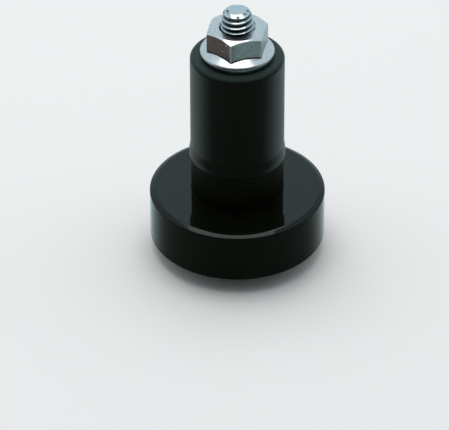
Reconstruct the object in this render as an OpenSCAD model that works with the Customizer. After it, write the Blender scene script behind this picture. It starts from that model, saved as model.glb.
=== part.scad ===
// Bar end weight with an expanding rubber plug, standing on its face with the nut end up.
// Z runs along the screw. Z = 0 is the crest of the face, the ring that the weight stands on.

/* [Weight] */
// Diameter of the turned weight
weight_d = 32; // [26:0.5:45]
// Height of its straight side, from the rim of the face to the rear face
side_h = 9.5; // [6:0.5:16]
// How far the crest of the face stands beyond the rim
crown_h = 2.95; // [2.2:0.05:4]
// Radius that rounds the crest of the face
crest_round = 1.1; // [0.6:0.1:1.6]
// Radius on the rim of the face
rim_round = 0.3; // [0.1:0.1:1]
// Radius on the rim of the rear face
rear_round = 0.6; // [0.1:0.05:1]
// Diameter of the hole for the screw
hole_d = 6.5; // [6.3:0.1:7]

/* [Spigot] */
// Diameter of the spigot behind the rear face
spigot_d = 16.8; // [14:0.1:20]
// Length of the spigot
spigot_h = 7.3; // [4:0.1:12]
// Radius in the corner between the spigot and the rear face
spigot_root = 0.1; // [0.05:0.05:0.6]
// Radius on the end of the spigot
spigot_round = 0.2; // [0.1:0.05:0.6]

/* [Rubber sleeve] */
// Outside diameter of the sleeve, which goes into the bar
sleeve_d = 17; // [15:0.1:22]
// Length of the sleeve with the screw slack
sleeve_l = 21.4; // [15:0.2:23]
// How far the lip at its foot stands out all round
lip_out = 0.35; // [0.1:0.05:0.8]
// Height over which the lip runs out
lip_h = 3; // [1.5:0.1:4]
// Radius on the upper end of the sleeve
sleeve_round = 0.7; // [0.1:0.1:1]

/* [Screw] */
// Thread diameter of the countersunk socket screw
screw_d = 6; // [5:0.5:6]
// Length of the screw over all
screw_l = 50; // [49:0.5:60]
// Diameter of its head
head_d = 11.6; // [11:0.1:12.6]
// Height of the straight band round the head
head_band = 0.35; // [0.2:0.05:0.6]
// How deep the head lies under the crest of the face
head_sunk = 0.65; // [0.4:0.05:0.9]
// Size across the flats of the key's socket
socket_af = 4; // [3:0.5:5]
// Depth of the socket
socket_depth = 2.4; // [1.5:0.1:3]
// Height of the chamfer on the screw's end
point_h = 0.8; // [0.4:0.1:1.2]

/* [Flange nut] */
// Size across the flats of the hexagon
nut_af = 10; // [9:0.5:11]
// Height of the nut over all
nut_h = 6; // [5:0.1:7]
// Diameter of the flange
flange_d = 13.4; // [12.8:0.1:15]
// Height of the flange at its edge
flange_edge = 1.2; // [0.8:0.1:1.6]
// Slope of the flange's upper side, in degrees
flange_slope = 28; // [15:1:35]
// Slope of the chamfer on top of the hexagon, in degrees
hex_chamfer = 30; // [20:1:40]
// Diameter of the thread's mouth on each side of the nut
mouth_d = 6.7; // [6.4:0.1:7]
// Turn of the hexagon about the screw, in degrees
nut_turn = -12; // [-30:1:30]

/* [Clearances] */
// Gap between the screw's head and its seat, square to the seat
seat_gap = 0.05; // [0.03:0.01:0.1]
// Gap all round between the screw and the nut's thread
thread_gap = 0.04; // [0.02:0.01:0.08]

/* [Hidden] */
$fn = 96;

// Largest angle between two points of a rounded corner
arc_step = 9;
// Overshoot that takes a cutter clear of the face it cuts
past = 1;
hex_sides = 6;
seat_angle = 45;
socket_point_angle = 30;

weight_r = weight_d / 2;
hole_r = hole_d / 2;
spigot_r = spigot_d / 2;
sleeve_r = sleeve_d / 2;
screw_r = screw_d / 2;
head_r = head_d / 2;
flange_r = flange_d / 2;

rear_z = crown_h + side_h;
spigot_end_z = rear_z + spigot_h;
sleeve_end_z = spigot_end_z + sleeve_l;
nut_end_z = sleeve_end_z + nut_h;

// The screw's seat is a cone at 45 degrees: on its wall, radius plus height is seat_sum.
head_cone_z = head_sunk + head_band;
seat_sum = head_r + head_cone_z + seat_gap / cos(seat_angle);
head_foot_z = head_cone_z + head_r - screw_r;
screw_end_z = head_sunk + screw_l;

// The crest's arc touches the seat's wall, and the cone of the face leaves it for the rim.
crest_r = seat_sum + crest_round * (1 / cos(seat_angle) - 1);
to_rim = [weight_r - crest_r, crown_h - crest_round];
face_slope = atan2(to_rim.y, to_rim.x) + asin(crest_round / norm(to_rim));
corner_z = (crown_h - (weight_r - seat_sum) * tan(face_slope)) / (1 + tan(face_slope));

// Across the corners of a hexagon, from its size across the flats
function corner_d(across_flats) = across_flats / cos(180 / hex_sides);

function unit(v) = v / norm(v);

// Points of the arc that rounds corner b, between its neighbours a and c.
function corner_arc(a, b, c, radius) =
    let (
        to_a = unit(a - b),
        to_c = unit(c - b),
        half = acos(to_a * to_c) / 2,
        centre = b + unit(to_a + to_c) * radius / sin(half),
        first = b + to_a * radius / tan(half) - centre,
        last = b + to_c * radius / tan(half) - centre,
        from = atan2(first.y, first.x),
        turn = (atan2(last.y, last.x) - from + 540) % 360 - 180,
        steps = ceil(abs(turn) / arc_step)
    )
    [for (i = [0:steps]) centre + radius * [cos(from + turn * i / steps), sin(from + turn * i / steps)]];

// An outline given as [radius, height, rounding] corners, with each corner rounded.
function rounded(corners) =
    let (
        count = len(corners),
        at = [for (c = corners) [c[0], c[1]]]
    )
    [for (i = [0:count - 1])
        each corners[i][2] > 0
            ? corner_arc(at[(i + count - 1) % count], at[i], at[(i + 1) % count], corners[i][2])
            : [at[i]]];

module turned(corners) {
    rotate_extrude() polygon(rounded(corners));
}

module hexagon_bar(across_flats, height) {
    cylinder(d = corner_d(across_flats), h = height, $fn = hex_sides);
}

module weight_body() {
    color([0.05, 0.05, 0.06])
        turned([
            [hole_r, spigot_end_z, 0],
            [spigot_r, spigot_end_z, spigot_round],
            [spigot_r, rear_z, spigot_root],
            [weight_r, rear_z, rear_round],
            [weight_r, crown_h, rim_round],
            [seat_sum - corner_z, corner_z, crest_round],
            [hole_r, seat_sum - hole_r, 0]
        ]);
}

module rubber_sleeve() {
    lip_r = sleeve_r + lip_out;
    color([0.13, 0.14, 0.14])
        turned([
            [hole_r, spigot_end_z, 0],
            [lip_r, spigot_end_z, lip_out],
            [lip_r, spigot_end_z + lip_h / 2, lip_h / 3],
            [sleeve_r, spigot_end_z + lip_h, lip_h / 3],
            [sleeve_r, sleeve_end_z, sleeve_round],
            [hole_r, sleeve_end_z, 0]
        ]);
}

// The socket's hexagon ends in the shallow cone that its drill leaves.
module key_socket() {
    across = corner_d(socket_af);
    floor_z = head_sunk + socket_depth;
    translate([0, 0, head_sunk - past]) hexagon_bar(socket_af, socket_depth + past);
    intersection() {
        translate([0, 0, floor_z])
            cylinder(d1 = across, d2 = 0, h = across / 2 * tan(socket_point_angle));
        translate([0, 0, floor_z - past]) hexagon_bar(socket_af, across + past);
    }
}

module socket_screw() {
    color([0.74, 0.77, 0.8])
        difference() {
            turned([
                [0, head_sunk, 0],
                [head_r, head_sunk, head_band / 3],
                [head_r, head_cone_z, 0],
                [screw_r, head_foot_z, 0],
                [screw_r, screw_end_z - point_h, 0],
                [screw_r - point_h, screw_end_z, 0],
                [0, screw_end_z, 0]
            ]);
            key_socket();
        }
}

// The hexagon above the flange, with its corners taken off by a cone on top.
module nut_hexagon() {
    corner_r = corner_d(nut_af) / 2;
    top_r = nut_af / 2 * 0.95;
    cone_h = (corner_r + past - top_r) * tan(hex_chamfer);
    intersection() {
        rotate([0, 0, nut_turn - 90]) translate([0, 0, sleeve_end_z]) hexagon_bar(nut_af, nut_h);
        union() {
            translate([0, 0, nut_end_z - cone_h]) cylinder(r1 = corner_r + past, r2 = top_r, h = cone_h);
            translate([0, 0, sleeve_end_z]) cylinder(r = corner_r + past, h = nut_h - cone_h);
        }
    }
}

module nut_flange() {
    rise = (flange_r - nut_af / 2) * tan(flange_slope);
    under_r = flange_r - flange_edge / 4;
    turned([
        [0, sleeve_end_z, 0],
        [under_r, sleeve_end_z, 0],
        [flange_r, sleeve_end_z + flange_edge / 3, flange_edge / 6],
        [flange_r, sleeve_end_z + flange_edge, flange_edge / 2],
        [nut_af / 2, sleeve_end_z + flange_edge + rise, 0],
        [0, sleeve_end_z + flange_edge + rise, 0]
    ]);
}

module flange_nut() {
    bore_r = screw_r + thread_gap;
    mouth_r = mouth_d / 2;
    mouth_h = mouth_r - bore_r;
    color([0.76, 0.79, 0.82])
        difference() {
            union() {
                nut_hexagon();
                nut_flange();
            }
            translate([0, 0, sleeve_end_z - past]) cylinder(r = bore_r, h = nut_h + 2 * past);
            translate([0, 0, nut_end_z - mouth_h]) cylinder(r1 = bore_r, r2 = mouth_r, h = mouth_h);
            translate([0, 0, nut_end_z]) cylinder(r = mouth_r, h = past);
            translate([0, 0, sleeve_end_z]) cylinder(r1 = mouth_r, r2 = bore_r, h = mouth_h);
            translate([0, 0, sleeve_end_z - past]) cylinder(r = mouth_r, h = past);
        }
}

weight_body();
rubber_sleeve();
socket_screw();
flange_nut();
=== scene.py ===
"""The looks of the bar end weight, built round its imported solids.

The weight stands on its face with the nut end up. Its four pieces are modelled
in millimetres and brought to metres when they are finished.
"""

import logging
import math
from collections.abc import Callable, Mapping, Sequence
from dataclasses import dataclass
from enum import Enum
from functools import cached_property

import bmesh
import bpy
from mathutils import Matrix, Vector

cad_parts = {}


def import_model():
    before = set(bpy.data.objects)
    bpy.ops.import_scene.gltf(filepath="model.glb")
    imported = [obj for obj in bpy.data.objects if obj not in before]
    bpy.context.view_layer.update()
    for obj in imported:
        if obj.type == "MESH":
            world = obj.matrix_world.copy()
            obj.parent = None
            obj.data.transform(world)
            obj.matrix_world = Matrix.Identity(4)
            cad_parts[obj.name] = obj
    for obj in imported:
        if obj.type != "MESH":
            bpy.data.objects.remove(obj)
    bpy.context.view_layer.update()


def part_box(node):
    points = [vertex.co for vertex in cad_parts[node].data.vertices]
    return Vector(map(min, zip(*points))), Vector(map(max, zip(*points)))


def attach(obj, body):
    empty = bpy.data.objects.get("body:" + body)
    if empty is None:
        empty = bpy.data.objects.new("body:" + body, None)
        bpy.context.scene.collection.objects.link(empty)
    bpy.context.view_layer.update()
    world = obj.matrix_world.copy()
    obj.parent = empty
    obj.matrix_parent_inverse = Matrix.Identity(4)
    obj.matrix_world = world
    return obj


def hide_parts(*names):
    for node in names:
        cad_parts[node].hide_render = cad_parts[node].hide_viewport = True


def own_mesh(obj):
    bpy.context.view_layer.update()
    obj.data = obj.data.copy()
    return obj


log = logging.getLogger("bar_end_weight")

Piece = bpy.types.Object
Material = bpy.types.Material
Tree = bpy.types.NodeTree
Node = bpy.types.Node
Socket = bpy.types.NodeSocket
Outputs = Mapping[str, Socket]
Colour = tuple[float, float, float]
Place = tuple[float, float, float]
Span = tuple[float, float]

MM = 0.001
TURN_STEPS = 192
THREAD_STEPS = 72
SMOOTH_ANGLE = math.radians(32)
SPARE_TURNS = 2

# In millimetres: doubles, slivers, the nearness of a point, and how far a cutter goes past
MERGE = 1e-4
WELD = 3e-4
NEAR = 1e-3
PAST = 1.0


class Body(Enum):
    """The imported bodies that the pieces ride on."""

    WEIGHT = "weight"
    SCREW = "screw"
    NUT = "nut"


class Slot(Enum):
    """The record's material slots."""

    GLOSS = "black_gloss"
    RUBBER = "black_rubber"
    ZINC = "zinc_plate"


class Cut(Enum):
    """How one solid acts on another."""

    JOIN = "UNION"
    TAKE = "DIFFERENCE"
    KEEP = "INTERSECT"


@dataclass(frozen=True)
class Corner:
    """One corner of a turned outline, in millimetres."""

    radius: float
    height: float
    rounding: float = 0.0
    segments: int = 6

    @property
    def place(self) -> Vector:
        """The corner in the outline's plane, y = 0."""
        return Vector((self.radius, 0.0, self.height))


# Modelling by hand


def deselect() -> None:
    """Leave nothing selected, so that an operator acts on the new piece alone."""
    if bpy.context.object and bpy.context.object.mode != "OBJECT":
        leave()
    bpy.ops.object.select_all(action="DESELECT")


def take(piece: Piece) -> None:
    """Select one piece alone and make it active."""
    deselect()
    piece.select_set(True)
    bpy.context.view_layer.objects.active = piece


def edit(piece: Piece, mode: str = "VERT") -> bmesh.types.BMesh:
    """Open a piece in edit mode with nothing selected.

    Args:
        piece: The piece to shape.
        mode: What is selected in edit mode, VERT, EDGE or FACE.

    Returns:
        The piece's mesh in edit mode.
    """
    if bpy.context.object is not piece or piece.mode != "EDIT":
        take(piece)
        bpy.ops.object.mode_set(mode="EDIT")
    bpy.ops.mesh.select_mode(type=mode)
    bpy.ops.mesh.select_all(action="DESELECT")
    return bmesh.from_edit_mesh(piece.data)


def select_all() -> None:
    """Select all of the piece that is open in edit mode."""
    bpy.ops.mesh.select_all(action="SELECT")


def leave() -> None:
    """Go back to object mode."""
    bpy.ops.object.mode_set(mode="OBJECT")


def pick(piece: Piece, mode: str, wanted: Callable[[object], bool]) -> None:
    """Select the points or edges of a piece that a test names.

    Args:
        piece: The piece, which is opened in edit mode.
        mode: What is selected, VERT or EDGE.
        wanted: Says of a point or an edge whether it is taken.
    """
    mesh = edit(piece, mode)
    for part in mesh.verts if mode == "VERT" else mesh.edges:
        if wanted(part):
            part.select_set(True)
    mesh.select_flush_mode()
    bmesh.update_edit_mesh(piece.data)


def draw_outline(name: str, corners: Sequence[Corner], closed: bool) -> Piece:
    """Draw a turned outline and round its corners.

    One point of a plane is kept, and each further corner is extruded from the last.

    Args:
        name: The new piece's name.
        corners: The outline's corners in order.
        closed: Whether the last corner is joined to the first.

    Returns:
        The outline as a piece with edges only, or with one face if it is closed.
    """
    deselect()
    bpy.ops.mesh.primitive_plane_add(size=1.0, location=(0.0, 0.0, 0.0))
    piece = bpy.context.object
    piece.name = name
    mesh = edit(piece)
    mesh.verts.ensure_lookup_table()
    for point in mesh.verts[1:]:
        point.select_set(True)
    bpy.ops.mesh.delete(type="VERT")
    select_all()
    mesh = bmesh.from_edit_mesh(piece.data)
    mesh.verts.ensure_lookup_table()
    last = mesh.verts[0].co.copy()
    bpy.ops.transform.translate(value=corners[0].place - last)
    for before, corner in zip(corners, corners[1:]):
        step = corner.place - before.place
        bpy.ops.mesh.extrude_region_move(TRANSFORM_OT_translate={"value": step})
    if closed:
        ends = (corners[0].place, corners[-1].place)
        pick(piece, "VERT", lambda point: min((point.co - end).length for end in ends) < NEAR)
        bpy.ops.mesh.edge_face_add()
    for index, corner in enumerate(corners):
        if corner.rounding:
            round_corner(piece, corners, index)
    leave()
    return piece


def round_corner(piece: Piece, corners: Sequence[Corner], index: int) -> None:
    """Bevel one corner of an outline to its radius.

    Args:
        piece: The outline.
        corners: All corners of the outline.
        index: Which corner is rounded.
    """
    corner = corners[index]
    to_last = corners[index - 1].place - corner.place
    to_next = corners[(index + 1) % len(corners)].place - corner.place
    reach = corner.rounding / math.tan(to_last.angle(to_next) / 2.0)
    pick(piece, "VERT", lambda point: (point.co - corner.place).length < NEAR)
    bpy.ops.mesh.bevel(
        offset_type="OFFSET",
        offset=reach,
        segments=corner.segments,
        profile=0.5,
        affect="VERTICES",
        clamp_overlap=False,
    )


def turn(name: str, corners: Sequence[Corner], closed: bool = True) -> Piece:
    """Turn an outline about the screw's axis into a closed solid.

    Args:
        name: The new piece's name.
        corners: The outline's corners, from the axis to the axis if it isn't closed.
        closed: Whether the outline is a ring that stays clear of the axis.

    Returns:
        The turned solid.
    """
    piece = draw_outline(name, corners, closed)
    edit(piece)
    select_all()
    bpy.ops.mesh.spin(
        steps=TURN_STEPS,
        angle=2.0 * math.pi,
        use_auto_merge=True,
        center=(0.0, 0.0, 0.0),
        axis=(0.0, 0.0, 1.0),
    )
    close_up(piece)
    return piece


def close_up(piece: Piece) -> None:
    """Merge a piece's doubles and turn all its faces outwards."""
    edit(piece)
    select_all()
    bpy.ops.mesh.remove_doubles(threshold=MERGE)
    select_all()
    bpy.ops.mesh.normals_make_consistent(inside=False)
    leave()


def weld(piece: Piece) -> None:
    """Close the slits and slivers that cutting leaves in a piece, and split its many-sided faces."""
    edit(piece, "FACE")
    for _ in range(2):
        select_all()
        bpy.ops.mesh.remove_doubles(threshold=WELD)
        select_all()
        bpy.ops.mesh.dissolve_degenerate(threshold=WELD)
        bpy.ops.mesh.select_all(action="DESELECT")
        bpy.ops.mesh.select_face_by_sides(number=4, type="GREATER")
        bpy.ops.mesh.quads_convert_to_tris(quad_method="BEAUTY", ngon_method="BEAUTY")
    leave()


def corner_radius(across_flats: float) -> float:
    """The radius to a hexagon's corners, from its size across the flats."""
    return across_flats / math.sqrt(3.0)


def hexagon_bar(
    name: str, across_flats: float, low: float, high: float, turned: float = 0.0, edge: float = 0.0
) -> Piece:
    """Make a bar with six sides, its upright edges rounded if asked.

    Args:
        name: The new piece's name.
        across_flats: Its size across the flats.
        low: The height of its lower end.
        high: The height of its upper end.
        turned: How far it is turned about the axis, in radians.
        edge: The radius on its upright edges.

    Returns:
        The bar.
    """
    deselect()
    bpy.ops.mesh.primitive_cylinder_add(
        vertices=6,
        radius=corner_radius(across_flats),
        depth=high - low,
        location=(0.0, 0.0, (low + high) / 2.0),
        rotation=(0.0, 0.0, turned - math.pi / 2.0),
    )
    piece = bpy.context.object
    piece.name = name
    bpy.ops.object.transform_apply(location=True, rotation=True, scale=True)
    if edge:
        pick(piece, "EDGE", lambda line: abs(line.verts[0].co.z - line.verts[1].co.z) > NEAR)
        reach = edge * math.tan(math.radians(30))
        bpy.ops.mesh.bevel(offset=reach, segments=4, profile=0.5, affect="EDGES")
        leave()
    return piece


def combine(piece: Piece, tool: Piece, way: Cut) -> None:
    """Let one solid act on another, and remove the tool.

    Args:
        piece: The solid that stays.
        tool: The solid that is used up.
        way: Whether the tool is joined, taken away or kept in common.
    """
    take(piece)
    step = piece.modifiers.new("combine", "BOOLEAN")
    step.operation = way.value
    step.solver = "EXACT"
    step.object = tool
    bpy.ops.object.modifier_apply(modifier=step.name)
    spare = tool.data
    bpy.data.objects.remove(tool)
    bpy.data.meshes.remove(spare)


def finish_piece(piece: Piece, body: Body, node: str, finish: Material) -> None:
    """Bring a piece to metres, smooth it, dress it and put it in its node's place.

    Args:
        piece: The piece, still in millimetres.
        body: The body that it rides on.
        node: The solid that it stands for.
        finish: Its material.
    """
    weld(piece)
    take(piece)
    bpy.ops.object.shade_smooth_by_angle(angle=SMOOTH_ANGLE, keep_sharp_edges=False)
    step = piece.modifiers.new("even shading", "WEIGHTED_NORMAL")
    step.keep_sharp = True
    bpy.ops.object.modifier_apply(modifier=step.name)
    piece.scale = (MM, MM, MM)
    bpy.ops.object.transform_apply(location=True, rotation=True, scale=True)
    piece.data.materials.clear()
    piece.data.materials.append(finish)
    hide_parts(node)
    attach(piece, body.value)
    log.info("%s: %d faces", piece.name, len(piece.data.polygons))


# Materials


@dataclass(frozen=True)
class Grain:
    """A grain's size and depth in millimetres, and how rough its pattern is."""

    size: float
    roughness: float
    depth: float


@dataclass(frozen=True)
class Specks:
    """Scattered specks: their spacing and size in millimetres, and the share that is kept."""

    spacing: float
    size: float
    share: float


@dataclass
class Wiring:
    """Adds nodes to one tree and joins them."""

    tree: Tree

    def add(self, kind: str, **given: object) -> Node:
        """Add a node.

        Args:
            kind: The node's type name, without ShaderNode.
            **given: Settings of the node by name, and its inputs as in_ and what give takes.

        Returns:
            The new node.
        """
        node = self.tree.nodes.new("ShaderNode" + kind)
        for name in [name for name in given if not name.startswith("in_")]:
            setattr(node, name, given.pop(name))
        self.give(node, **{name.removeprefix("in_"): value for name, value in given.items()})
        return node

    def give(self, node: Node, **inputs: object) -> None:
        """Set or feed inputs of a node, by their place or by their name with _ for a space."""
        for key, value in inputs.items():
            self.feed(value, node.inputs[int(key) if key.isdigit() else key.replace("_", " ")])

    def feed(self, value: object, socket: Socket) -> None:
        """Join a socket to an input, or set the input's own value."""
        if isinstance(value, Socket):
            self.tree.links.new(value, socket)
        else:
            socket.default_value = value

    def group(self, tree: Tree, **values: float) -> Outputs:
        """Add a node group with values for its inputs, and return its outputs."""
        node = self.add("Group", node_tree=tree)
        self.give(node, **values)
        return node.outputs

    def math(self, operation: str, *values: object) -> Socket:
        """Put values through a Math node and return its result."""
        node = self.add("Math", operation=operation)
        for value, socket in zip(values, node.inputs):
            self.feed(value, socket)
        return node.outputs[0]

    def times(self, first: Socket, *factors: object) -> Socket:
        """Multiply a socket by one or more factors and return the product."""
        for factor in factors:
            first = self.math("MULTIPLY", first, factor)
        return first

    def about(self, middle: float, swing: float, pattern: Socket) -> Socket:
        """Let a value swing about its middle with a pattern from 0 to 1."""
        return self.math("ADD", self.times(pattern, swing), middle - swing / 2.0)

    def span(
        self, value: Socket, low: float, high: float, to_low: float = 0.0, to_high: float = 1.0
    ) -> Socket:
        """Map a range smoothly to another and return the result."""
        node = self.add("MapRange", interpolation_type="SMOOTHSTEP", in_Value=value,
                        in_From_Min=low, in_From_Max=high, in_To_Min=to_low, in_To_Max=to_high)
        return node.outputs["Result"]

    def mix(self, share: object, first: object, second: object) -> Socket:
        """Blend two colours by a share and return the result."""
        node = self.add("Mix", data_type="RGBA", in_0=share, in_6=first, in_7=second)
        return node.outputs[2]

    def close(self, **results: Socket) -> Tree:
        """Give a group its named outputs and return the group."""
        for name in results:
            self.tree.interface.new_socket(name=name, in_out="OUTPUT", socket_type="NodeSocketFloat")
        out = self.tree.nodes.new("NodeGroupOutput")
        self.give(out, **results)
        return self.tree


def new_group(name: str, **values: float) -> tuple[Wiring, Outputs]:
    """Start a node group.

    Args:
        name: The group's name.
        **values: Its inputs and their usual values.

    Returns:
        The wiring of the group, and the inputs as they are seen inside it.
    """
    tree = bpy.data.node_groups.new(name, "ShaderNodeTree")
    for title, value in values.items():
        socket = tree.interface.new_socket(name=title, in_out="INPUT", socket_type="NodeSocketFloat")
        socket.default_value = value
    return Wiring(tree), tree.nodes.new("NodeGroupInput").outputs


def rgba(colour: Colour) -> tuple[float, float, float, float]:
    """A colour with full alpha."""
    return (*colour, 1.0)


def shade_of(colour: Colour, share: float) -> tuple[float, float, float, float]:
    """A colour made darker or lighter by a share, with full alpha."""
    return rgba(tuple(part * share for part in colour))


@dataclass
class Effects:
    """Node groups that several finishes share, each built when it is first used.

    All of them measure in millimetres from Object coordinates.
    """

    fine_detail: float = 3.0
    broad_detail: float = 4.0
    broad_scale: float = 0.04
    least_speck: float = 0.3
    speck_edge: float = 2.0
    line_roughness: float = 0.7

    @staticmethod
    def millimetres(wire: Wiring) -> Socket:
        """Add Object coordinates in millimetres and return them."""
        where = wire.add("TexCoord").outputs["Object"]
        return wire.add("VectorMath", operation="SCALE", in_0=where, in_Scale=1.0 / MM).outputs[0]

    @cached_property
    def place(self) -> Tree:
        """The group that tells a point's radius, height and place from left to right."""
        wire, _ = new_group("turned place")
        parts = wire.add("SeparateXYZ", in_0=self.millimetres(wire)).outputs
        flat = wire.add("CombineXYZ", in_X=parts["X"], in_Y=parts["Y"]).outputs[0]
        length = wire.add("VectorMath", operation="LENGTH", in_0=flat).outputs["Value"]
        return wire.close(Radius=length, Height=parts["Z"], Across=parts["X"])

    @cached_property
    def grain(self) -> Tree:
        """The group of fine and broad grain."""
        wire, given = new_group("grain", Size=0.2, Roughness=0.6)
        where = self.millimetres(wire)
        scale = wire.math("DIVIDE", 1.0, given["Size"])
        fine = wire.add("TexNoise", in_Vector=where, in_Scale=scale, in_Detail=self.fine_detail,
                        in_Roughness=given["Roughness"])
        wide = wire.times(scale, self.broad_scale)
        broad = wire.add("TexNoise", in_Vector=where, in_Scale=wide, in_Detail=self.broad_detail,
                         in_Roughness=given["Roughness"])
        return wire.close(Fine=fine.outputs[0], Broad=broad.outputs[0])

    @cached_property
    def specks(self) -> Tree:
        """The group of scattered specks, such as dust."""
        wire, given = new_group("specks", Spacing=1.0, Size=0.08, Share=0.3)
        where = self.millimetres(wire)
        scale = wire.math("DIVIDE", 1.0, given["Spacing"])
        cells = wire.add("TexVoronoi", in_Vector=where, in_Scale=scale).outputs
        reach = wire.math("DIVIDE", given["Size"], given["Spacing"])
        chosen = wire.add("SeparateColor", in_Color=cells["Color"]).outputs
        kept = wire.math("LESS_THAN", chosen[0], given["Share"])
        uneven = wire.times(reach, wire.math("ADD", chosen[1], self.least_speck))
        near = wire.math("SUBTRACT", 1.0, wire.math("DIVIDE", cells["Distance"], uneven))
        soft = wire.add("Clamp", in_Value=wire.times(near, self.speck_edge)).outputs[0]
        return wire.close(Mask=wire.times(soft, kept))

    @cached_property
    def turning(self) -> Tree:
        """The group of fine lines that a lathe leaves, along the radius and height."""
        wire, given = new_group("turning lines", Spacing=0.1)
        spot = wire.group(self.place)
        along = wire.math("DIVIDE", wire.math("ADD", spot["Radius"], spot["Height"]), given["Spacing"])
        lines = wire.add("TexNoise", noise_dimensions="1D", in_W=along, in_Scale=1.0,
                         in_Detail=self.fine_detail, in_Roughness=self.line_roughness)
        return wire.close(Lines=lines.outputs[0])

    def add_grain(self, wire: Wiring, grain: Grain) -> Outputs:
        """Add grain to a material and return its patterns, Fine and Broad."""
        return wire.group(self.grain, Size=grain.size, Roughness=grain.roughness)

    def add_specks(self, wire: Wiring, specks: Specks) -> Socket:
        """Add specks to a material and return their mask."""
        node = wire.group(self.specks, Spacing=specks.spacing, Size=specks.size, Share=specks.share)
        return node["Mask"]


def new_material(name: str) -> tuple[Material, Wiring, Node]:
    """Start a material and return it, the wiring of its tree and its shader."""
    material = bpy.data.materials.new(name)
    material.use_nodes = True
    tree = material.node_tree
    return material, Wiring(tree), tree.nodes["Principled BSDF"]


def bumps(
    wire: Wiring, shader: Node, height: Socket, depth: float, below: Socket | None = None
) -> Socket:
    """Let a height pattern stand out of a surface.

    Args:
        wire: The wiring of the material.
        shader: The shader whose normal is fed.
        height: The pattern, from 0 to 1.
        depth: Its depth in millimetres.
        below: The normal of a pattern under this one.

    Returns:
        The new normal.
    """
    given = {"in_Height": height, "in_Strength": 1.0, "in_Distance": depth * MM}
    if below is not None:
        given["in_Normal"] = below
    node = wire.add("Bump", **given)
    wire.give(shader, Normal=node.outputs[0])
    return node.outputs[0]


def slant(wire: Wiring) -> Socket:
    """How far a surface faces up, from -1 to 1, in the piece's own space."""
    return wire.add("SeparateXYZ", in_0=wire.add("TexCoord").outputs["Normal"]).outputs["Z"]


def grazing(wire: Wiring, low: float, high: float) -> Socket:
    """A mask that rises from one facing value to another, for surfaces seen at a glance."""
    facing = wire.add("LayerWeight", in_Blend=0.5)
    return wire.span(facing.outputs["Facing"], low, high)


@dataclass(frozen=True)
class GlossCoat:
    """Black coating, glossy on the faces and satin on the turned side wall."""

    colour: Colour = (0.0034, 0.0042, 0.0015)
    lighter: float = 1.8
    grain: Grain = Grain(size=0.35, roughness=0.6, depth=0.0006)
    dust: Specks = Specks(spacing=1.5, size=0.11, share=0.22)
    dust_colour: Colour = (0.5, 0.52, 0.52)
    dust_cover: float = 0.22
    dust_roughness: float = 0.3
    line_spacing: float = 0.12
    line_depth: float = 0.012
    gloss: float = 0.09
    gloss_swing: float = 0.05
    satin: float = 0.34
    satin_swing: float = 0.12
    dull: float = 0.5
    specular: float = 0.04
    coat_roughness: float = 0.06
    coat_ior: float = 1.35
    coat_fade: float = 0.15
    edge_from: float = 14.9
    edge_coat: float = 0.8
    wall_from: float = 15.93
    wall_fade: float = 0.05
    wall_glance: Span = (0.47, 0.97)
    spigot_to: float = 8.42

    def make(self, effects: Effects) -> Material:
        """Build the coating for a weight whose side wall starts at the radius wall_from."""
        material, wire, shader = new_material("black_gloss_coat")
        radius = wire.group(effects.place)["Radius"]
        wall = wire.span(radius, self.wall_from, self.wall_from + self.wall_fade)
        grain = effects.add_grain(wire, self.grain)
        dust = effects.add_specks(wire, self.dust)
        lines = wire.group(effects.turning, Spacing=self.line_spacing)["Lines"]
        tone = wire.mix(grain["Broad"], rgba(self.colour), shade_of(self.colour, self.lighter))
        dusty = wire.mix(wire.times(dust, self.dust_cover), tone, rgba(self.dust_colour))
        polished = wire.about(self.gloss, self.gloss_swing, grain["Broad"])
        turned = wire.about(self.satin, self.satin_swing, lines)
        gap = wire.math("SUBTRACT", turned, polished)
        rough = wire.math("ADD", polished, wire.times(gap, wall))
        rough = wire.math("ADD", rough, wire.times(dust, self.dust_roughness))
        spigot = wire.math("LESS_THAN", radius, self.spigot_to)
        rough = wire.math("MAXIMUM", rough, wire.times(spigot, self.dull))
        faces = wire.span(radius, self.spigot_to, self.spigot_to + self.coat_fade)
        edge = wire.span(radius, self.edge_from, self.edge_from + self.coat_fade, 1.0, self.edge_coat)
        coated = wire.times(faces, wire.math("SUBTRACT", 1.0, wall), edge)
        glancing = wire.times(wall, grazing(wire, *self.wall_glance))
        wire.give(shader, Base_Color=dusty, Roughness=rough, Specular_IOR_Level=self.specular)
        wire.give(shader, Coat_Weight=wire.math("ADD", coated, glancing), Coat_IOR=self.coat_ior)
        wire.give(shader, Coat_Roughness=self.coat_roughness)
        peel = bumps(wire, shader, grain["Fine"], self.grain.depth)
        bumps(wire, shader, wire.times(lines, wall), self.line_depth, peel)
        return material


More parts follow.
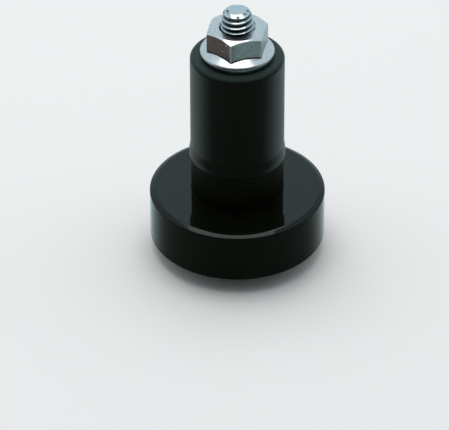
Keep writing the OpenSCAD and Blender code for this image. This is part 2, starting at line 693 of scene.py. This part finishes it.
@dataclass(frozen=True)
class MouldedRubber:
    """Black moulded rubber, satin to matt, with a fine grain, a little dust and painted light on the
    faces that look up.
    """

    colour: Colour = (0.0034, 0.0047, 0.0018)
    lighter: float = 1.6
    # Painted light: a lighter colour on the faces that look up, the top end most.
    lit_top_colour: Colour = (0.030, 0.047, 0.042)
    lit_top_slant: Span = (0.12, 0.9)
    grain: Grain = Grain(size=0.22, roughness=0.7, depth=0.012)
    dust: Specks = Specks(spacing=1.1, size=0.12, share=0.3)
    dust_colour: Colour = (0.35, 0.37, 0.36)
    dust_cover: float = 0.06
    roughness: float = 0.48
    roughness_swing: float = 0.14
    specular: float = 0.05
    coat: float = 0.42
    coat_roughness: float = 0.32
    coat_ior: float = 1.48
    glance: Span = (0.27, 0.54)

    def make(self, effects: Effects) -> Material:
        """Build the rubber."""
        material, wire, shader = new_material("moulded_rubber")
        grain = effects.add_grain(wire, self.grain)
        dust = effects.add_specks(wire, self.dust)
        tone = wire.mix(grain["Broad"], rgba(self.colour), shade_of(self.colour, self.lighter))
        dusty = wire.mix(wire.times(dust, self.dust_cover), tone, rgba(self.dust_colour))
        # Painted light on the faces that look up.
        end = wire.span(slant(wire), *self.lit_top_slant)
        tone = wire.mix(end, dusty, rgba(self.lit_top_colour))
        rough = wire.about(self.roughness, self.roughness_swing, grain["Broad"])
        coated = wire.times(grazing(wire, *self.glance), self.coat)
        wire.give(shader, Base_Color=tone, Roughness=rough, Specular_IOR_Level=self.specular)
        wire.give(shader, Coat_Weight=coated, Coat_IOR=self.coat_ior, Coat_Roughness=self.coat_roughness)
        bumps(wire, shader, grain["Fine"], self.grain.depth)
        return material


@dataclass(frozen=True)
class ZincPlate:
    """Bright blue-white zinc plating on steel, with painted shade on its upright faces, darker
    at the left, and a painted highlight along the hexagon's corners.

    Lengths are in millimetres. With a groove shade share above 0 it is a screw's, with painted
    shade in its grooves and dark marks on its end. Without one it is a nut's, with painted shade
    in the crease just above the flange, where radius times crease_slope plus height is crease_sum.
    """

    name: str = "zinc_plate"
    colour: Colour = (0.73, 0.75, 0.80)
    warm: Colour = (0.79, 0.73, 0.73)
    patched: Span = (0.35, 0.65)
    mottled: Span = (0.40, 0.62)
    mottle_share: float = 0.6
    mottle_shade: float = 0.66
    pits: Specks = Specks(spacing=0.7, size=0.12, share=0.35)
    pit_colour: Colour = (0.25, 0.27, 0.30)
    pit_share: float = 0.35
    side_pit_share: float = 0.6
    # Painted shade: a darker colour on the upright faces, standing in for the dark surroundings that
    # they reflect.
    side_shade_colour: Colour = (0.185, 0.229, 0.223)
    streaked: Span = (0.32, 0.66)
    streak_share: float = 0.55
    streak_shade: float = 0.45
    # Painted shade: the upright faces darker and browner towards the left, as their reflection is.
    left_shade_colour: Colour = (0.080, 0.052, 0.044)
    left_shade_across: Span = (-2.5, 0.5)
    left_shade_grain: Span = (0.30, 0.60)
    left_shade_least: float = 0.8
    side_slant: Span = (0.10, 0.75)
    corner: float = 5.70
    # Painted highlight: less painted shade along the hexagon's upright corners.
    corner_highlight_reach: Span = (-0.04, 0.02)
    corner_highlight_to: float = 0.1
    corner_highlight_share: float = 0.2
    # Painted shade in the crease where the flats meet the flange.
    crease_shade_colour: Colour = (0.004, 0.008, 0.007)
    crease_sum: float = 45.912
    crease_slope: float = math.tan(math.radians(28.0))
    crease_reach: Span = (0.22, 0.38)
    # Painted shade in the thread's grooves; the same colour serves the dark marks on the screw's end.
    groove_shade_share: float = 0.0
    groove_shade_and_mark_colour: Colour = (0.035, 0.05, 0.045)
    groove_radii: Span = (2.60, 2.92)
    grooved_from: float = 26.0
    grooved_to: float = 49.86
    lead_from: float = 48.05
    lead_slope: float = 0.204
    marks: Specks = Specks(spacing=0.9, size=0.5, share=0.6)
    marked_from: float = 1.5
    roughness: float = 0.22
    roughness_swing: float = 0.16
    grain: Grain = Grain(size=0.34, roughness=0.75, depth=0.004)

    def make(self, effects: Effects) -> Material:
        """Build the plating."""
        material, wire, shader = new_material(self.name)
        spot = wire.group(effects.place)
        grain = effects.add_grain(wire, self.grain)
        pits = effects.add_specks(wire, self.pits)
        patches = wire.span(grain["Broad"], *self.patched)
        tone = wire.mix(patches, rgba(self.colour), rgba(self.warm))
        mottled = wire.span(grain["Fine"], *self.mottled, 0.0, self.mottle_share)
        tone = wire.mix(mottled, tone, shade_of(self.colour, self.mottle_shade))
        plain = wire.mix(wire.times(pits, self.pit_share), tone, rgba(self.pit_colour))
        # Painted shade for the upright faces, which shows the lit tone again in the pits.
        side = self.painted_side_shade(wire, spot, grain["Fine"])
        side = wire.mix(wire.times(pits, self.side_pit_share), side, tone)
        # Only a nut gets painted shade in the crease above its flange.
        if not self.groove_shade_share:
            side = self.add_crease_shade(wire, spot, side)
        tone = wire.mix(self.side_shade_mask(wire, spot, patches), plain, side)
        # A screw gets painted shade in its thread's grooves, and dark marks on its end.
        if self.groove_shade_share:
            tone = self.add_groove_shade(wire, spot, tone)
            tone = self.add_marks(wire, spot, tone, effects)
        rough = wire.about(self.roughness, self.roughness_swing, grain["Fine"])
        wire.give(shader, Base_Color=tone, Roughness=rough, Metallic=1.0)
        bumps(wire, shader, grain["Fine"], self.grain.depth)
        return material

    def side_shade_mask(self, wire: Wiring, spot: Outputs, patches: Socket) -> Socket:
        """Where the painted side shade shows: on upright faces, less along the corners, which get a
        painted highlight.
        """
        upright = wire.span(wire.math("ABSOLUTE", slant(wire)), *self.side_slant, 1.0, 0.0)
        # Painted highlight: the painted side shade is lifted along the corners.
        low, high = (self.corner + reach for reach in self.corner_highlight_reach)
        corner_highlight = wire.span(spot["Radius"], low, high, 0.0, self.corner_highlight_share)
        near = wire.math("LESS_THAN", spot["Radius"], self.corner + self.corner_highlight_to)
        return wire.times(upright, wire.math("SUBTRACT", 1.0, wire.times(corner_highlight, near, patches)))

    def painted_side_shade(self, wire: Wiring, spot: Outputs, fine: Socket) -> Socket:
        """Painted shade for the upright faces, streaky, and painted darker and browner towards the left.
        """
        streaks = wire.span(fine, *self.streaked, 0.0, self.streak_share)
        side_shade_colour = wire.mix(streaks, rgba(self.side_shade_colour), shade_of(self.side_shade_colour, self.streak_shade))
        # Painted shade, darker and browner towards the left.
        left_shade = wire.span(spot["Across"], *self.left_shade_across, 1.0, 0.0)
        left_shade = wire.times(left_shade, wire.span(fine, *self.left_shade_grain, self.left_shade_least, 1.0))
        return wire.mix(left_shade, side_shade_colour, rgba(self.left_shade_colour))

    def add_crease_shade(self, wire: Wiring, spot: Outputs, tone: Socket) -> Socket:
        """Paint shade on the side faces in the crease just above the flange."""
        total = wire.math("ADD", wire.times(spot["Radius"], self.crease_slope), spot["Height"])
        above = wire.math("ABSOLUTE", wire.math("SUBTRACT", total, self.crease_sum))
        return wire.mix(wire.span(above, *self.crease_reach, 1.0, 0.0), tone, rgba(self.crease_shade_colour))

    def add_groove_shade(self, wire: Wiring, spot: Outputs, tone: Socket) -> Socket:
        """Paint shade in the thread's grooves, which lie further in along the lead at the screw's end.
        """
        lead = wire.math("MAXIMUM", wire.math("SUBTRACT", spot["Height"], self.lead_from), 0.0)
        reach = wire.math("ADD", spot["Radius"], wire.times(lead, self.lead_slope))
        below_end = wire.math("LESS_THAN", spot["Height"], self.grooved_to)
        above_head = wire.math("GREATER_THAN", spot["Height"], self.grooved_from)
        deep = wire.times(wire.span(reach, *self.groove_radii, self.groove_shade_share, 0.0), below_end, above_head)
        return wire.mix(deep, tone, rgba(self.groove_shade_and_mark_colour))

    def add_marks(self, wire: Wiring, spot: Outputs, tone: Socket, effects: Effects) -> Socket:
        """Scatter dark marks round the screw's end."""
        outer = wire.math("GREATER_THAN", spot["Radius"], self.marked_from)
        end = wire.math("GREATER_THAN", spot["Height"], self.grooved_to)
        marked = wire.times(outer, end, effects.add_specks(wire, self.marks))
        return wire.mix(marked, tone, rgba(self.groove_shade_and_mark_colour))


# Pieces, all sizes in millimetres


def reach_of(node: str) -> tuple[float, float, float]:
    """The radius, the lower end and the upper end of a solid."""
    low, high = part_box(node)
    return high.x / MM, low.z / MM, high.z / MM


@dataclass
class Weight:
    """The turned weight. On the wall of the screw's seat, radius plus height is seat_sum."""

    radius: float
    spigot_end: float
    rear: float = 12.45
    rim: float = 2.95
    hole_radius: float = 3.25
    spigot_radius: float = 8.4
    seat_sum: float = 6.871
    crest_round: float = 1.1
    rear_chamfer: float = 0.9
    rear_chamfer_drop: float = 0.40
    rear_blend: float = 1.0
    rear_round: float = 0.25
    rim_round: float = 0.3
    spigot_root: float = 0.1
    spigot_round: float = 0.2

    def crest(self) -> Corner:
        """The sharp corner between the screw's seat and the cone of the face."""
        crest_r = self.seat_sum + self.crest_round * (math.sqrt(2.0) - 1.0)
        across = self.radius - crest_r
        up = self.rim - self.crest_round
        slope = math.atan2(up, across) + math.asin(self.crest_round / math.hypot(across, up))
        height = self.rim - (self.radius - self.seat_sum) * math.tan(slope)
        height /= 1.0 + math.tan(slope)
        return Corner(self.seat_sum - height, height, self.crest_round, 14)

    def build(self, finish: Material) -> None:
        """Turn the weight and dress it."""
        corners = [
            Corner(self.hole_radius, self.spigot_end),
            Corner(self.spigot_radius, self.spigot_end, self.spigot_round, 4),
            Corner(self.spigot_radius, self.rear, self.spigot_root, 5),
            Corner(self.radius - self.rear_chamfer, self.rear, self.rear_blend, 6),
            Corner(self.radius, self.rear - self.rear_chamfer_drop, self.rear_round, 4),
            Corner(self.radius, self.rim, self.rim_round, 6),
            self.crest(),
            Corner(self.hole_radius, self.seat_sum - self.hole_radius),
        ]
        piece = turn("turned_weight", corners)
        finish_piece(piece, Body.WEIGHT, "weight_body", finish)


@dataclass
class Sleeve:
    """The rubber sleeve that the nut squeezes."""

    foot: float
    end: float
    radius: float = 8.5
    bore: float = 3.25
    lip_out: float = 0.2
    lip_height: float = 2.8
    foot_round: float = 0.4
    end_round: float = 0.7
    travel: float = 3.0

    def build(self, finish: Material) -> None:
        """Turn the sleeve, dress it and give it a mesh of its own."""
        lip = self.radius + self.lip_out
        corners = [
            Corner(self.bore, self.foot),
            Corner(lip, self.foot, self.foot_round, 5),
            Corner(lip, self.foot + self.lip_height / 2.0, self.lip_height / 3.0, 5),
            Corner(self.radius, self.foot + self.lip_height, self.lip_height / 3.0, 5),
            Corner(self.radius, self.end, self.end_round, 7),
            Corner(self.bore, self.end),
        ]
        piece = turn("rubber_sleeve_moulding", corners)
        finish_piece(piece, Body.WEIGHT, "rubber_sleeve", finish)
        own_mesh(piece)


@dataclass
class Thread:
    """A metric thread on the screw's axis, with the shape of its standard."""

    radius: float = 2.95
    pitch: float = 1.0
    depth_share: float = 0.6134
    flank_angle: float = 30.0
    root_round: float = 0.06
    crest_round: float = 0.04
    turned: float = math.radians(-108.0)

    def solid(self, name: str, low: float, turns: int, extra: float = 0.0) -> Piece:
        """Wind one turn's outline up to a threaded bar.

        Args:
            name: The new piece's name.
            low: The height where the winding starts.
            turns: How many turns it has.
            extra: What is added all round, for the thread of a nut.

        Returns:
            The threaded bar, with ragged ends that are to be cut off.
        """
        depth = self.depth_share * self.pitch
        crest = self.pitch / 8.0
        flank = depth * math.tan(math.radians(self.flank_angle))
        root = self.pitch - crest - 2.0 * flank
        top, foot = self.radius + extra, self.radius - depth + extra
        corners = [
            Corner(foot, low),
            Corner(foot, low + root, self.root_round, 2),
            Corner(top, low + root + flank, self.crest_round, 2),
            Corner(top, low + root + flank + crest, self.crest_round, 2),
            Corner(foot, low + self.pitch),
        ]
        piece = draw_outline(name, corners, closed=False)
        take(piece)
        piece.rotation_euler = (0.0, 0.0, self.turned)
        bpy.ops.object.transform_apply(location=True, rotation=True, scale=True)
        step = piece.modifiers.new("winding", "SCREW")
        step.axis = "Z"
        step.angle = 2.0 * math.pi
        step.screw_offset = self.pitch
        step.iterations = turns
        step.steps = THREAD_STEPS
        step.render_steps = THREAD_STEPS
        step.use_merge_vertices = True
        step.merge_threshold = MERGE
        bpy.ops.object.modifier_apply(modifier=step.name)
        self.close_ends(piece, low, low + turns * self.pitch)
        close_up(piece)
        return piece

    def close_ends(self, piece: Piece, low: float, high: float) -> None:
        """Draw each open end of the winding in to a point on the axis.

        Args:
            piece: The open winding.
            low: The height where the winding starts.
            high: The height of its last full turn.
        """
        edit(piece)
        select_all()
        bpy.ops.mesh.remove_doubles(threshold=MERGE)
        middle = (low + high) / 2.0
        for above, height in ((False, low), (True, high)):
            pick(piece, "EDGE", lambda line: line.is_boundary and (line.verts[0].co.z > middle) == above)
            bpy.ops.mesh.extrude_edges_move()
            bpy.ops.transform.resize(value=(0.0, 0.0, 0.0), center_override=(0.0, 0.0, height))
            bpy.ops.mesh.remove_doubles(threshold=MERGE)
        leave()


@dataclass
class SocketScrew:
    """The countersunk socket screw."""

    head_radius: float
    head: float
    end: float
    radius: float = 3.0
    band: float = 0.35
    neck_round: float = 0.3
    socket_flats: float = 4.0
    socket_depth: float = 2.4
    drill_slope: float = 30.0
    drill_lap: float = 0.3
    face_radius: float = 1.65
    face_round: float = 0.25
    face_shift: float = -0.3
    point_radius: float = 2.52
    point_round: float = 0.3
    point_slope: float = 25.0
    lead: float = 2.6
    lead_share: float = 0.18
    thread_length: float = 24.0
    runout: float = 0.6
    runout_depth: float = 0.55

    def build(self, finish: Material, thread: Thread) -> None:
        """Turn the screw, add its thread, cut its socket and dress it."""
        cone = self.head + self.band
        foot = cone + self.head_radius - self.radius
        start = self.end - self.thread_length
        core = start + 2.0 * self.runout
        shank = [
            Corner(0.0, self.head),
            Corner(self.head_radius, self.head, self.band / 3.0, 4),
            Corner(self.head_radius, cone),
            Corner(self.radius, foot, self.neck_round, 4),
            Corner(self.radius, start + self.runout),
            Corner(self.radius - self.runout_depth, core),
            Corner(0.0, core),
        ]
        piece = turn("countersunk_screw", shank, closed=False)
        low = start - SPARE_TURNS * thread.pitch
        turns = int(self.thread_length / thread.pitch) + 2 * SPARE_TURNS
        threaded = thread.solid("thread_winding", low, turns)
        self.draw_in(threaded)
        combine(threaded, self.thread_reach(start), Cut.KEEP)
        combine(piece, threaded, Cut.JOIN)
        floor = self.head + self.socket_depth
        key = hexagon_bar("key_reach", self.socket_flats, self.head - PAST, floor)
        combine(piece, key, Cut.TAKE)
        across = corner_radius(self.socket_flats)
        drill = [
            Corner(0.0, floor - self.drill_lap),
            Corner(across - self.drill_lap, floor - self.drill_lap),
            Corner(across - self.drill_lap, floor),
            Corner(0.0, floor + across * math.tan(math.radians(self.drill_slope))),
        ]
        combine(piece, turn("drill_point", drill, closed=False), Cut.TAKE)
        finish_piece(piece, Body.SCREW, "socket_screw", finish)

    def thread_reach(self, start: float) -> Piece:
        """Turn the bar that the thread is cut down to, from its start to the screw's uneven end."""
        point = (self.point_radius - self.face_radius) * math.tan(math.radians(self.point_slope))
        envelope = [
            Corner(0.0, start),
            Corner(self.radius, start),
            Corner(self.radius, self.end - self.lead),
            Corner(self.point_radius, self.end - point, self.point_round, 4),
            Corner(self.face_radius, self.end, self.face_round, 4),
            Corner(0.0, self.end),
        ]
        reach = turn("thread_reach", envelope, closed=False)
        pick(reach, "VERT", lambda spot: spot.co.z > self.end - point / 2.0)
        bpy.ops.transform.translate(value=(self.face_shift, 0.0, 0.0))
        leave()
        return reach

    def draw_in(self, threaded: Piece) -> None:
        """Narrow the threaded bar, crest and root alike, along the lead at the screw's end."""
        mesh = edit(threaded)
        for point in mesh.verts:
            reach = min(max((point.co.z - self.end + self.lead) / self.lead, 0.0), 1.0)
            point.co.xy *= 1.0 - self.lead_share * reach
        bmesh.update_edit_mesh(threaded.data)
        leave()


@dataclass
class FlangeNut:
    """The nut with its flange."""

    flange_radius: float
    base: float
    end: float
    flats: float = 10.0
    corner_round: float = 0.16
    top_share: float = 0.95
    top_round: float = 0.12
    chamfer: float = 30.0
    flange_edge: float = 1.2
    flange_slope: float = 28.0
    flange_lap: float = 0.6
    root_round: float = 0.2
    mouth: float = 3.35
    mouth_lap: float = 0.4
    bore: float = 3.0
    tap_turns: int = 12
    turned: float = math.radians(-102.0)

    def build(self, finish: Material, thread: Thread) -> None:
        """Shape the nut, cut its thread and dress it."""
        piece = hexagon_bar(
            "flanged_nut", self.flats, self.base, self.end, self.turned, self.corner_round
        )
        combine(piece, turn("hexagon_chamfer", self.cap_outline(), closed=False), Cut.KEEP)
        combine(piece, turn("flange", self.flange_outline(), closed=False), Cut.JOIN)
        combine(piece, turn("mouths", self.mouth_outline(), closed=False), Cut.TAKE)
        low = thread_start(thread, self.base - SPARE_TURNS * thread.pitch)
        tap = thread.solid("tap", low, self.tap_turns, self.bore - thread.radius)
        combine(piece, tap, Cut.TAKE)
        finish_piece(piece, Body.NUT, "flange_nut", finish)

    def cap_outline(self) -> list[Corner]:
        """The outline that the hexagon is cut down to, with the cone on its top."""
        past = corner_radius(self.flats) + PAST
        top = self.flats / 2.0 * self.top_share
        drop = (past - top) * math.tan(math.radians(self.chamfer))
        return [
            Corner(0.0, self.base - PAST),
            Corner(past, self.base - PAST),
            Corner(past, self.end - drop),
            Corner(top, self.end, self.top_round, 4),
            Corner(0.0, self.end),
        ]

    def flange_outline(self) -> list[Corner]:
        """The outline of the flange, lapping into the hexagon."""
        edge = self.flange_edge
        inner = self.flats / 2.0
        rise = (self.flange_radius - inner) * math.tan(math.radians(self.flange_slope))
        root = self.base + edge + rise
        return [
            Corner(0.0, self.base),
            Corner(self.flange_radius - edge / 4.0, self.base),
            Corner(self.flange_radius, self.base + edge / 3.0, edge / 6.0, 4),
            Corner(self.flange_radius, self.base + edge, edge / 2.0, 8),
            Corner(inner, root, self.root_round, 3),
            Corner(inner - self.flange_lap, root + self.flange_lap),
            Corner(0.0, root + self.flange_lap),
        ]

    def mouth_outline(self) -> list[Corner]:
        """The outline of the hole, wider at both of its mouths."""
        height = self.mouth - self.bore + self.mouth_lap
        inner = self.bore - self.mouth_lap
        return [
            Corner(0.0, self.base - PAST),
            Corner(self.mouth, self.base - PAST),
            Corner(self.mouth, self.base),
            Corner(inner, self.base + height),
            Corner(inner, self.end - height),
            Corner(self.mouth, self.end),
            Corner(self.mouth, self.end + PAST),
            Corner(0.0, self.end + PAST),
        ]


def thread_start(thread: Thread, near: float) -> float:
    """The height near a given one that is whole turns away from the screw's end.

    Args:
        thread: The thread.
        near: The height wanted.

    Returns:
        A height where the nut's thread runs along with the screw's.
    """
    end = reach_of("socket_screw")[2]
    return end - round((end - near) / thread.pitch) * thread.pitch


# Studio


@dataclass
class Studio:
    """Camera, floor, lamp and world.

    Lengths are in metres. The camera's aim is given in the photograph's pixels.
    """

    elevation: float = 34.7
    distance: float = 0.705
    focal_pixels: float = 3890.0
    frame_width: float = 449.0
    frame_height: float = 430.0
    target_height: float = 0.02235
    target_pixel: tuple[float, float] = (237.3, 141.4)
    sensor: float = 36.0
    clip: Span = (0.01, 50.0)
    floor_size: float = 8.0
    floor_roughness: float = 0.9
    paper: Colour = (0.90, 0.91, 0.91)
    paper_seen: Colour = (1.22, 1.17, 1.16)
    paper_mirrored: Colour = (1.02, 1.16, 1.17)
    lamp_place: Place = (-0.03, 0.14, 0.62)
    lamp_aim: Place = (0.0, 0.0, 0.02)
    lamp_size: tuple[float, float] = (0.46, 0.46)
    lamp_level: float = 1.9
    sky: Colour = (0.89, 0.99, 1.01)
    sky_mirrored: Colour = (0.80, 1.04, 1.12)
    sky_reach: Span = (-0.7, 0.35)
    sky_levels: Span = (0.10, 0.72)

    def place_camera(self) -> None:
        """Put the camera at the photograph's angle and aim it a little past the object."""
        tilt = math.radians(self.elevation)
        target = Vector((0.0, 0.0, self.target_height))
        back = Vector((0.0, -math.cos(tilt), math.sin(tilt)))
        data = bpy.data.cameras.new("camera")
        data.sensor_width = self.sensor
        data.lens = self.focal_pixels / self.frame_width * self.sensor
        data.clip_start, data.clip_end = self.clip
        camera = bpy.data.objects.new("camera", data)
        bpy.context.scene.collection.objects.link(camera)
        right = self.target_pixel[0] - self.frame_width / 2.0
        up = self.frame_height / 2.0 - self.target_pixel[1]
        yaw = Matrix.Rotation(math.atan(right / self.focal_pixels), 4, "Y")
        pitch = Matrix.Rotation(-math.atan(up / self.focal_pixels), 4, "X")
        facing = (-back).to_track_quat("-Z", "Y").to_matrix().to_4x4()
        camera.matrix_world = Matrix.Translation(target + back * self.distance) @ facing @ yaw @ pitch
        bpy.context.scene.camera = camera

    def lay_floor(self) -> None:
        """Lay a plain pale floor under the weight, lighter where it is looked at."""
        deselect()
        bpy.ops.mesh.primitive_plane_add(size=self.floor_size, location=(0.0, 0.0, 0.0))
        floor = bpy.context.object
        floor.name = "pale_floor"
        material, wire, shader = new_material("pale_floor")
        ray = wire.add("LightPath").outputs
        seen = wire.math("MAXIMUM", ray["Is Camera Ray"], ray["Is Transmission Ray"])
        paper = wire.mix(seen, rgba(self.paper), rgba(self.paper_seen))
        paper = wire.mix(ray["Is Glossy Ray"], paper, rgba(self.paper_mirrored))
        wire.give(shader, Base_Color=paper, Roughness=self.floor_roughness, Specular_IOR_Level=0.0)
        floor.data.materials.append(material)

    def hang_lamp(self) -> None:
        """Hang the soft lamp. At a level of 1 its face would be white."""
        width, depth = self.lamp_size
        data = bpy.data.lights.new("overhead_softbox", "AREA")
        data.shape = "RECTANGLE"
        data.size, data.size_y = width, depth
        data.energy = self.lamp_level * math.pi * width * depth
        lamp = bpy.data.objects.new("overhead_softbox", data)
        place, aim = Vector(self.lamp_place), Vector(self.lamp_aim)
        lamp.location = place
        lamp.rotation_euler = (aim - place).to_track_quat("-Z", "Y").to_euler()
        bpy.context.scene.collection.objects.link(lamp)

    def light_world(self) -> None:
        """Make the world bright behind the weight and dark in front of it."""
        world = bpy.data.worlds.new("studio")
        world.use_nodes = True
        tree = world.node_tree
        wire = Wiring(tree)
        parts = wire.add("SeparateXYZ", in_0=wire.add("TexCoord").outputs["Generated"])
        behind = wire.span(parts.outputs["Y"], *self.sky_reach, *self.sky_levels)
        mirrored = wire.add("LightPath").outputs["Is Glossy Ray"]
        sky = wire.mix(mirrored, rgba(self.sky), rgba(self.sky_mirrored))
        level = wire.mix(behind, rgba((0.0, 0.0, 0.0)), sky)
        wire.give(tree.nodes["Background"], Color=level, Strength=1.0)
        bpy.context.scene.world = world

    def build(self) -> None:
        """Set up the whole studio."""
        self.place_camera()
        self.lay_floor()
        self.hang_lamp()
        self.light_world()
        bpy.context.scene.view_settings.view_transform = "Standard"


def main() -> None:
    """Build the part and its studio."""
    logging.basicConfig(level=logging.INFO, format="%(name)s: %(message)s")
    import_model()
    Studio().build()
    effects = Effects()
    coat = GlossCoat().make(effects)
    rubber = MouldedRubber().make(effects)
    zinc = ZincPlate().make(effects)
    # The screw's plating, with painted shade in its thread's grooves.
    screw_plate = ZincPlate("zinc_plate_screw", (0.62, 0.73, 0.82), roughness=0.17, groove_shade_share=0.95)
    screw_zinc = screw_plate.make(effects)
    thread = Thread()
    radius, _, spigot_end = reach_of("weight_body")
    Weight(radius, spigot_end).build(coat)
    _, foot, end = reach_of("rubber_sleeve")
    Sleeve(foot, end).build(rubber)
    SocketScrew(*reach_of("socket_screw")).build(screw_zinc, thread)
    FlangeNut(*reach_of("flange_nut")).build(zinc, thread)
    deselect()


if __name__ == "__main__":
    main()
